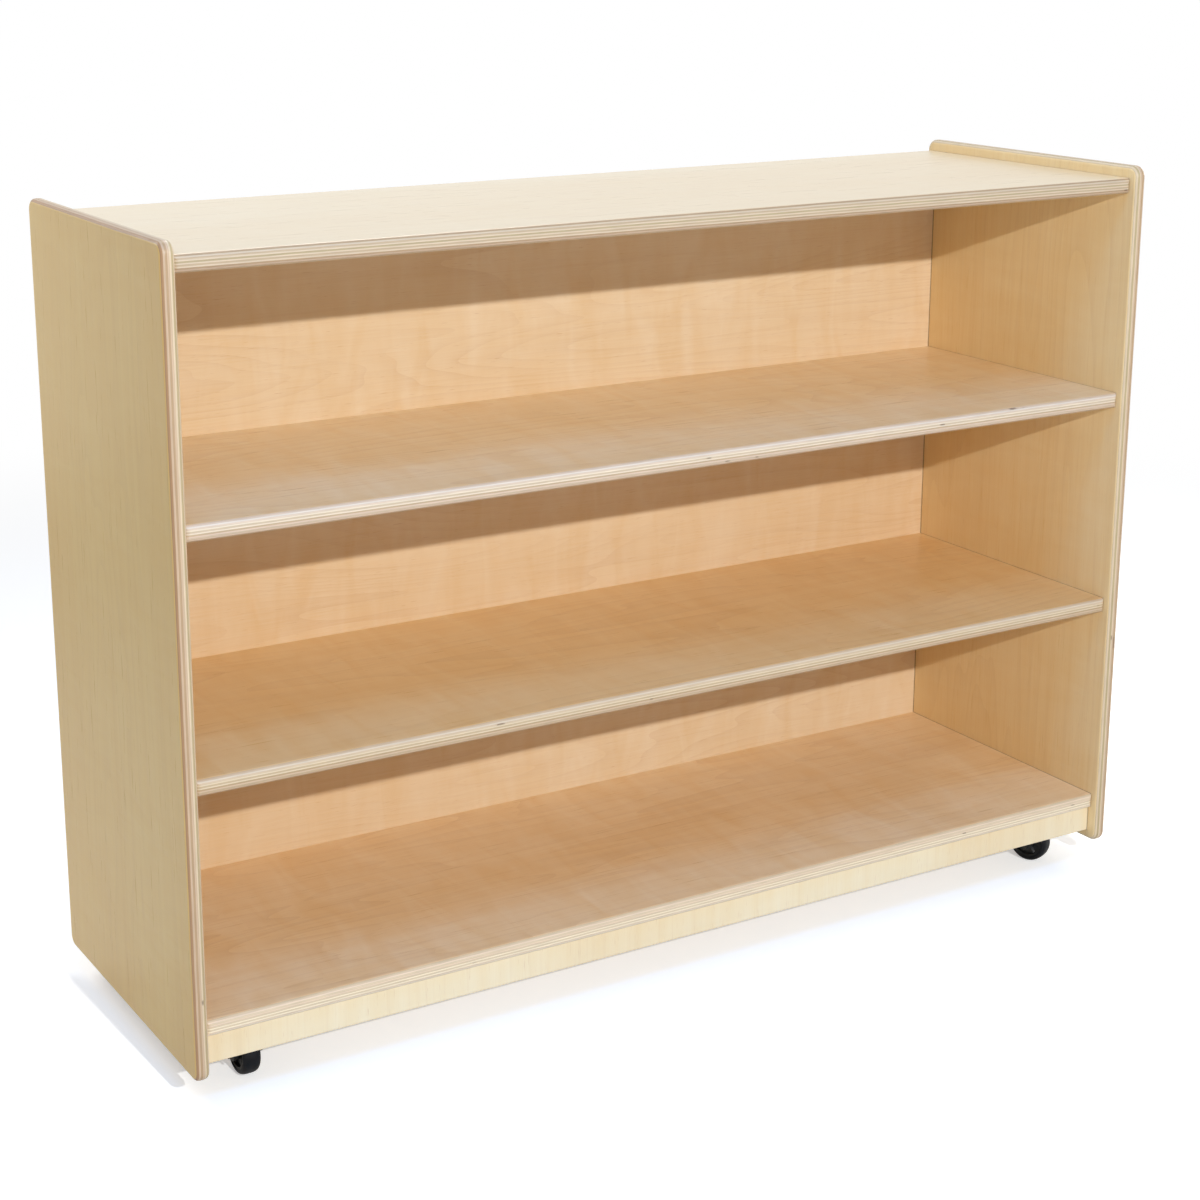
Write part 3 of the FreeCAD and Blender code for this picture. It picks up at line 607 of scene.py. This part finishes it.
def plated_steel(name, colour, cloud):
    """Plating: a metal whose colour, brightness and gloss drift in small cloudy grains."""
    sheet = Sheet(name)
    grains = sheet.cloud(420.0, detail=2.0)
    clouds = sheet.cloud(90.0)
    bright = sheet.math("MULTIPLY_ADD", grains, 0.2, 0.9)
    metal = sheet.shade(sheet.blend(clouds, colour, cloud), bright)
    rough = sheet.span(clouds, 0.3, 0.7, 0.24, 0.38)
    return sheet.finish(metal, rough, sheet.bump(grains, 0.02 * MM, 0.4), Metallic=1.0)


def coated_steel(name, colour):
    """Black powder coat: a fine orange-peel skin with dull dusty patches."""
    sheet = Sheet(name)
    peel = sheet.cloud(900.0, detail=2.0)
    dust = sheet.cloud(60.0, detail=3.0)
    dust = sheet.span(dust, 0.45, 0.75, 0.0, 0.35)
    coat = sheet.blend(dust, colour, COAT_DUST)
    rough = sheet.span(dust, 0.0, 0.35, 0.36, 0.52)
    return sheet.finish(coat, rough, sheet.bump(peel, 0.06 * MM, 0.5))


def moulded(name, colour, dusty, matt, shine, grain, depth):
    """Moulded nylon or rubber: an even skin with a fine moulded grain and a little dust in patches.

    matt is its roughness and shine how strongly it reflects. grain is how often the grain repeats per
    metre, and depth how deep it is.
    """
    sheet = Sheet(name)
    skin = sheet.cloud(grain, detail=3.0)
    dust = sheet.cloud(110.0, detail=3.0)
    dust = sheet.span(dust, 0.4, 0.75, 0.0, 0.5)
    body = sheet.blend(dust, colour, dusty)
    rough = sheet.span(skin, 0.25, 0.75, matt - 0.06, matt + 0.08)
    return sheet.finish(body, rough, sheet.bump(skin, depth, 0.5), Specular_IOR_Level=shine)


class FinishScrews(bpy.types.Operator):
    """Finish the plated screws of the back panel and the casters"""

    bl_idname = "shelf.finish_screws"
    bl_label = "Screws"

    def execute(self, context):
        steel = plated_steel("plated_screws", tuple(context.scene.shelf_casters.zinc_colour), ZINC_CLOUD)
        for node in ("back_panel_screws", "caster_screws"):
            dress(node, steel)
        return {"FINISHED"}


class FinishCasterPlates(bpy.types.Operator):
    """Finish the coated caster plates"""

    bl_idname = "shelf.finish_caster_plates"
    bl_label = "Caster plates"

    def execute(self, context):
        coat = coated_steel("coated_plates", tuple(context.scene.shelf_casters.steel_colour))
        for corner in CORNERS:
            dress(corner + "_caster_plate", coat)
        return {"FINISHED"}


class FinishSwivels(bpy.types.Operator):
    """Finish the kingpins, washers and balls that the casters turn on"""

    bl_idname = "shelf.finish_swivels"
    bl_label = "Swivels"

    def execute(self, context):
        steel = plated_steel("plated_swivels", tuple(context.scene.shelf_casters.zinc_colour), ZINC_CLOUD)
        for corner in CORNERS:
            for piece in ("_kingpin", "_swivel_washer", "_swivel_balls"):
                dress(corner + piece, steel)
        return {"FINISHED"}


class FinishForks(bpy.types.Operator):
    """Finish the coated forks"""

    bl_idname = "shelf.finish_forks"
    bl_label = "Forks"

    def execute(self, context):
        coat = coated_steel("coated_forks", tuple(context.scene.shelf_casters.steel_colour))
        for corner in CORNERS:
            dress(corner + "_fork", coat)
        return {"FINISHED"}


class FinishAxles(bpy.types.Operator):
    """Finish the blackened axle bolts, nuts and sleeves"""

    bl_idname = "shelf.finish_axles"
    bl_label = "Axles"

    def execute(self, context):
        steel = plated_steel("blackened_axles", tuple(context.scene.shelf_casters.axle_colour), AXLE_CLOUD)
        for corner in CORNERS:
            for piece in ("_axle_bolt", "_axle_nut", "_axle_sleeve"):
                dress(corner + piece, steel)
        return {"FINISHED"}


def axle_of(corner):
    """Middle of a wheel and the direction of its axle, from the joint that it rolls on."""
    for joint in frame["joints"]:
        if joint["name"] == corner + "_wheel_roll":
            axis = np.array(joint["axis"], float)
            return np.array(joint["pos_m"]), axis / np.linalg.norm(axis)
    raise RuntimeError("No rolling joint for the wheel at " + corner)


def turned_ring(name, corner, reach, radius):
    """A closed ring turned round a wheel's axle.

    At turn angle t and profile place s the point is middle + reach(t, s) axle + radius(t, s) spoke, and the
    spoke is cos(t) forward + sin(t) up. The profile runs along the axle on its outer side and back on its
    inner side, and both directions close on themselves.
    """
    middle, axle = axle_of(corner)
    turns, steps = reach.shape
    turn = np.linspace(0.0, 2 * np.pi, turns, endpoint=False)[:, None, None]
    up = np.array((0.0, 0.0, 1.0))
    spoke = np.cos(turn) * np.cross(up, axle) + np.sin(turn) * up
    points = middle + reach[..., None] * axle + radius[..., None] * spoke
    index = np.arange(turns * steps).reshape(turns, steps)
    ahead = np.roll(index, -1, axis=0)
    faces = np.stack((index, ahead, np.roll(ahead, -1, axis=1), np.roll(index, -1, axis=1)), axis=-1)
    return new_piece(name, points, faces, True)


def ease(value, start, end):
    """0 before start and 1 after end, with a smooth step between: 3t^2 - 2t^3."""
    share = np.clip((value - start) / (end - start), 0.0, 1.0)
    return share * share * (3.0 - 2.0 * share)


# Radii, half widths and edges of the wheel's two rings, and how finely they are cut
Tyre = namedtuple("Tyre", "half inner outer power turns steps seat_steps")
TYRE = Tyre(
    half=10.0 * MM, inner=19.0 * MM, outer=25.0 * MM, power=3.0, turns=128, steps=41, seat_steps=8
)
Centre = namedtuple(
    "Centre",
    "bore boss boss_half web_half rib_half rim rim_half edge "
    "ribs rib_width turns steps rim_steps bore_steps",
)
CENTRE = Centre(
    bore=4.55 * MM,
    boss=8.5 * MM,
    boss_half=11.0 * MM,
    web_half=4.5 * MM,
    rib_half=6.8 * MM,
    rim=16.0 * MM,
    rim_half=9.0 * MM,
    edge=0.8 * MM,
    ribs=6,
    rib_width=2.6 * MM,
    turns=160,
    steps=52,
    rim_steps=6,
    bore_steps=8,
)


def tyre_profile():
    """Crowned tyre, whose outer side is half a superellipse and whose inner side is a flat seat on the rim.

    With a running from pi to 0 and n the power, reach = half sign(cos a) |cos a|^(2/n) and
    radius = inner + (outer - inner) |sin a|^(2/n).
    """
    sweep = np.linspace(np.pi, 0.0, TYRE.steps)
    across, height = np.cos(sweep), np.abs(np.sin(sweep))
    reach = TYRE.half * np.sign(across) * np.abs(across) ** (2 / TYRE.power)
    radius = TYRE.inner + (TYRE.outer - TYRE.inner) * height ** (2 / TYRE.power)
    seat = np.linspace(TYRE.half, -TYRE.half, TYRE.seat_steps)[1:-1]
    reach = np.concatenate((reach, seat))
    radius = np.concatenate((radius, np.full(seat.size, TYRE.inner)))
    return np.tile(reach, (TYRE.turns, 1)), np.tile(radius, (TYRE.turns, 1))


def centre_profile():
    """Moulded wheel centre, whose half width goes from the boss down to the web and up to the ribs and rim.

    Each change is one smooth step of the radius, or of the distance from the middle of the nearest rib.
    """
    turns = CENTRE.turns
    radius = np.linspace(CENTRE.bore, TYRE.inner, CENTRE.steps)
    turn = np.linspace(0.0, 2 * np.pi, turns, endpoint=False)[:, None]
    pitch = 2 * np.pi / CENTRE.ribs
    aside = np.abs((turn + pitch / 2) % pitch - pitch / 2) * radius
    half = CENTRE.rib_width / 2
    rib = 1.0 - ease(aside, half, half + CENTRE.edge)
    boss = 1.0 - ease(radius, CENTRE.boss - CENTRE.edge, CENTRE.boss)
    rim = ease(radius, CENTRE.rim, CENTRE.rim + CENTRE.edge)
    width = CENTRE.web_half + (CENTRE.rib_half - CENTRE.web_half) * rib
    width = width + (CENTRE.boss_half - width) * boss
    width = width + (CENTRE.rim_half - width) * rim
    rim_walk = np.linspace(-CENTRE.rim_half, CENTRE.rim_half, CENTRE.rim_steps)[1:-1]
    bore_walk = np.linspace(CENTRE.boss_half, -CENTRE.boss_half, CENTRE.bore_steps)[1:-1]
    radius = np.tile(radius, (turns, 1))
    reach = np.concatenate(
        (-width, np.tile(rim_walk, (turns, 1)), width[:, ::-1], np.tile(bore_walk, (turns, 1))), axis=1
    )
    outline = np.concatenate(
        (
            radius,
            np.full((turns, rim_walk.size), TYRE.inner),
            radius[:, ::-1],
            np.full((turns, bore_walk.size), CENTRE.bore),
        ),
        axis=1,
    )
    return reach, outline


class MakeWheels(bpy.types.Operator):
    """Turn the ribbed nylon wheel centres and the crowned rubber tyres"""

    bl_idname = "shelf.make_wheels"
    bl_label = "Wheels"

    def execute(self, context):
        colours = context.scene.shelf_casters
        nylon = moulded(
            "wheel_nylon",
            tuple(colours.nylon_colour),
            NYLON_DUST,
            matt=0.36,
            shine=0.4,
            grain=1500.0,
            depth=0.03 * MM,
        )
        rubber = moulded(
            "tyre_rubber",
            tuple(colours.rubber_colour),
            RUBBER_DUST,
            matt=0.40,
            shine=0.2,
            grain=700.0,
            depth=0.08 * MM,
        )
        for corner in CORNERS:
            centre = turned_ring(corner + "_wheel_centre", corner, *centre_profile())
            tyre = turned_ring(corner + "_tyre", corner, *tyre_profile())
            for piece, node, finish, slot in (
                (centre, "_wheel_hub", nylon, "black_nylon"),
                (tyre, "_tread", rubber, "black_rubber"),
            ):
                piece.data.materials.append(finish)
                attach(piece, corner + "_wheel")
                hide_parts(corner + node)
        return {"FINISHED"}


# The studio, in metres: floor, lamps and camera
FLOOR_REACH = 40.0
FLOOR_CELLS = 8
# Distances over which the floor turns white for the camera and in gloss, and its glow near the unit
FLOOR_PLAIN = (1.3, 2.8)
FLOOR_MIRRORED = (2.0, 3.4)
FLOOR_GLOW = 0.42
KEY_PLACE = (-0.5, -3.58, 2.05)
KEY_AIM = (0.0, 0.0, 0.45)
TOP_PLACE = (-0.6, -1.22, 2.90)
TOP_AIM = (-0.2, -0.18, 0.55)
TOP_SIZE = (2.2, 0.40)
REAR_PLACE = (0.5, 1.3, 2.9)
REAR_AIM = (0.3, 0.0, 0.8)
REAR_SIZE = (1.4, 1.4)
SIDE_PLACE = (-1.3, 1.0, 1.5)
SIDE_AIM = (-0.6, 0.0, 0.5)
SIDE_SIZE = (0.6, 0.6)
RIGHT_PLACE = (2.0, 0.2, 1.2)
RIGHT_AIM = (0.6, 0.0, 0.45)
RIGHT_SIZE = (0.8, 0.8)
WHITE = (1.0, 1.0, 1.0)
TOP_TINT = (0.10, 0.43, 1.0)
CAMERA_PLACE = (-1.3506, -2.1558, 1.1750)
CAMERA_YAW = 30.706
CAMERA_PITCH = -14.665
CAMERA_SHIFT = (0.03, -0.08)
SENSOR = 36.0


def flat_sheet(name, reach, cells):
    """A level square of cells at floor height: x and y both run from -reach to reach, z is nought."""
    line = np.linspace(-reach, reach, cells + 1)
    x, y = np.meshgrid(line, line)
    points = np.stack((x.ravel(), y.ravel(), np.zeros(x.size)), axis=1)
    index = np.arange(x.size).reshape(x.shape)
    faces = np.stack((index[:-1, :-1], index[:-1, 1:], index[1:, 1:], index[1:, :-1]), axis=-1)
    return new_piece(name, points, faces, False)


def floor_finish(colour):
    """Pale floor: matt near the unit, so its shadow stays, and plain white further out.

    What the camera sees turns white sooner than what shows in gloss or through glass, and has a little glow
    near the unit as well.
    """
    sheet = Sheet("studio_floor")
    distance = sheet.add("ShaderNodeVectorMath", operation="LENGTH")
    sheet.feed(distance.inputs[0], sheet.place)
    distance = distance.outputs["Value"]
    mottle = sheet.cloud(30.0, detail=2.0)
    matt = sheet.shade(colour, sheet.math("MULTIPLY_ADD", mottle, 0.02, 0.99))
    path = sheet.add("ShaderNodeLightPath")
    camera = path.outputs["Is Camera Ray"]
    mirror = sheet.math("MAXIMUM", path.outputs["Is Glossy Ray"], path.outputs["Is Transmission Ray"])
    far = sheet.span(distance, *FLOOR_PLAIN)
    mirrored = sheet.math("MULTIPLY", mirror, sheet.span(distance, *FLOOR_MIRRORED))
    white = sheet.math("MULTIPLY_ADD", camera, far, mirrored)
    near = sheet.math("MULTIPLY", camera, sheet.span(far, 0.0, 1.0, FLOOR_GLOW, 0.0, smooth=False))
    glow = sheet.math("ADD", white, near)
    matt = sheet.shade(matt, sheet.math("SUBTRACT", 1.0, white))
    sheet.feed(sheet.shader.inputs["Emission Color"], WHITE)
    sheet.feed(sheet.shader.inputs["Emission Strength"], glow)
    sheet.feed(sheet.shader.inputs["Specular IOR Level"], 0.0)
    return sheet.finish(matt, 0.9, sheet.bump(mottle, 0.01 * MM, 0.1))


def studio_world(dome):
    """Soft light from all round, and a white background where a ray looks at it."""
    world = bpy.data.worlds.new("studio")
    world.use_nodes = True
    tree = world.node_tree
    tree.nodes.clear()
    path = tree.nodes.new("ShaderNodeLightPath")
    back = tree.nodes.new("ShaderNodeBackground")
    output = tree.nodes.new("ShaderNodeOutputWorld")
    most = [tree.nodes.new("ShaderNodeMath") for _ in range(2)]
    for node in most:
        node.operation = "MAXIMUM"
    level = tree.nodes.new("ShaderNodeMapRange")
    level.inputs["To Min"].default_value = dome
    level.inputs["To Max"].default_value = 1.0
    back.inputs["Color"].default_value = (*WHITE, 1.0)
    tree.links.new(path.outputs["Is Camera Ray"], most[0].inputs[0])
    tree.links.new(path.outputs["Is Glossy Ray"], most[0].inputs[1])
    tree.links.new(most[0].outputs[0], most[1].inputs[0])
    tree.links.new(path.outputs["Is Transmission Ray"], most[1].inputs[1])
    tree.links.new(most[1].outputs[0], level.inputs["Value"])
    tree.links.new(level.outputs[0], back.inputs["Strength"])
    tree.links.new(back.outputs[0], output.inputs["Surface"])
    return world


def soft_lamp(name, place, aim, size, power, colour):
    """A rectangular lamp that faces a point."""
    lamp = bpy.data.lights.new(name, "AREA")
    lamp.shape = "RECTANGLE"
    lamp.size, lamp.size_y = size
    lamp.energy = power
    lamp.color = colour
    holder = bpy.data.objects.new(name, lamp)
    holder.location = place
    towards = np.array(aim) - np.array(place)
    flat = math.hypot(towards[0], towards[1])
    holder.rotation_euler = (math.atan2(flat, -towards[2]), 0.0, math.atan2(-towards[0], towards[1]))
    bpy.context.scene.collection.objects.link(holder)


class SetStage(bpy.types.Operator):
    """Lay the floor, light the studio and set up the camera"""

    bl_idname = "shelf.set_stage"
    bl_label = "Stage"

    def execute(self, context):
        scene = context.scene
        stage = scene.shelf_stage
        floor = flat_sheet("studio_floor", FLOOR_REACH, FLOOR_CELLS)
        floor.data.materials.append(floor_finish(tuple(stage.floor_colour)))
        scene.world = studio_world(stage.dome)
        key_size = (stage.key_size, stage.key_size)
        soft_lamp("key_lamp", KEY_PLACE, KEY_AIM, key_size, stage.key_power, WHITE)
        soft_lamp("top_lamp", TOP_PLACE, TOP_AIM, TOP_SIZE, stage.top_power, TOP_TINT)
        soft_lamp("rear_lamp", REAR_PLACE, REAR_AIM, REAR_SIZE, stage.rear_power, WHITE)
        soft_lamp("side_lamp", SIDE_PLACE, SIDE_AIM, SIDE_SIZE, stage.side_power, WHITE)
        soft_lamp("right_lamp", RIGHT_PLACE, RIGHT_AIM, RIGHT_SIZE, stage.right_power, WHITE)
        view = bpy.data.cameras.new("camera")
        view.lens = stage.lens
        view.sensor_width = SENSOR
        view.shift_x, view.shift_y = CAMERA_SHIFT
        camera = bpy.data.objects.new("camera", view)
        camera.location = CAMERA_PLACE
        camera.rotation_euler = (math.radians(90 + CAMERA_PITCH), 0.0, math.radians(-CAMERA_YAW))
        scene.collection.objects.link(camera)
        scene.camera = camera
        scene.view_settings.view_transform = "Standard"
        return {"FINISHED"}


STEPS = (
    FinishSidePanels,
    FinishShelves,
    FinishTopPanel,
    FinishFrontApron,
    FinishBackPanel,
    FinishDowels,
    FinishScrews,
    FinishCasterPlates,
    FinishSwivels,
    FinishForks,
    FinishAxles,
    MakeWheels,
    SetStage,
)


class ShelfPanel(bpy.types.Panel):
    """Lists the steps and settings of the shelf unit"""

    bl_idname = "VIEW3D_PT_shelf_unit"
    bl_label = "Shelf unit"
    bl_space_type = "VIEW_3D"
    bl_region_type = "UI"
    bl_category = "Shelf unit"

    def draw(self, context):
        for step in STEPS:
            self.layout.operator(step.bl_idname)
        for group in SETTINGS:
            box = self.layout.box()
            for name in SETTINGS[group].__annotations__:
                box.prop(getattr(context.scene, group), name)


SETTINGS = {
    "shelf_plywood": PlywoodSettings,
    "shelf_casters": CasterSettings,
    "shelf_stage": StageSettings,
}
CLASSES = (*SETTINGS.values(), *STEPS, ShelfPanel)


def register():
    """Makes the settings, steps and panel known to Blender."""
    for kind in CLASSES:
        bpy.utils.register_class(kind)
    for name, kind in SETTINGS.items():
        setattr(bpy.types.Scene, name, bpy.props.PointerProperty(type=kind))


def unregister():
    """Takes them away again."""
    for name in SETTINGS:
        delattr(bpy.types.Scene, name)
    for kind in reversed(CLASSES):
        bpy.utils.unregister_class(kind)


def main():
    """Runs every step in order."""
    register()
    for step in STEPS:
        group, name = step.bl_idname.split(".")
        getattr(getattr(bpy.ops, group), name)()


if __name__ == "__main__":
    main()
